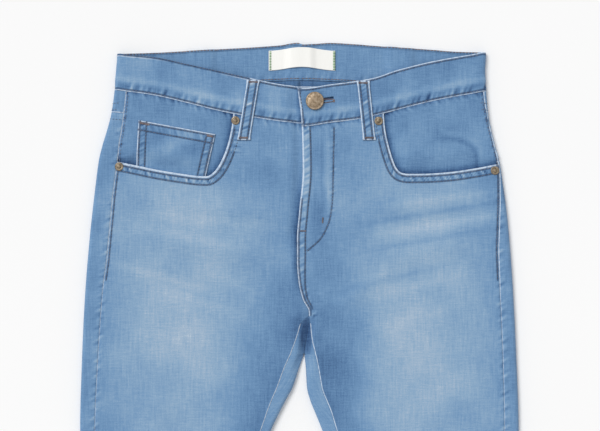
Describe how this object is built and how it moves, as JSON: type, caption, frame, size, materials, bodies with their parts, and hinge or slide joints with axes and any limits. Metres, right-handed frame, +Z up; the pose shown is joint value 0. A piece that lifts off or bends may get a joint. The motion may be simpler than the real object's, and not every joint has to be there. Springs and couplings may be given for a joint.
{
  "type": "skinny jeans laid flat",
  "caption": "Narrow-legged denim jeans laid flat, front up: waistband with belt loops, inner label and button, closed fly, riveted front pockets, coin pocket and back pockets.",
  "frame": {"origin": "middle of the bounding box's underside, on the surface that the jeans lie on", "axes": "+Y towards the waist along the legs, +Z up out of the front of the jeans, +X towards the wearer's left"},
  "size_m": [0.4222, 1.0354, 0.0121],
  "materials": {
    "denim": "washed light-blue stretch denim, matt",
    "label_cloth": "woven off-white label, bare",
    "aged_bronze": "aged bronze, satin",
    "zip_tape": "woven zip tape, matt"
  },
  "bodies": {
    "root": {"front_right": "denim", "front_left": "denim", "back_right": "denim", "back_left": "denim", "yoke_right": "denim", "yoke_left": "denim", "waistband": "denim", "pocket_facing_right": "denim", "pocket_facing_left": "denim", "coin_pocket": "denim", "back_pocket_right": "denim", "back_pocket_left": "denim", "belt_loop_front_right": "denim", "belt_loop_front_left": "denim", "belt_loop_back_right": "denim", "belt_loop_back_left": "denim", "belt_loop_back_centre": "denim", "label": "label_cloth", "button": "aged_bronze", "rivet_right_inner": "aged_bronze", "rivet_right_outer": "aged_bronze", "rivet_left_inner": "aged_bronze", "rivet_left_outer": "aged_bronze", "zip": "zip_tape"}
  },
  "joints": []
}
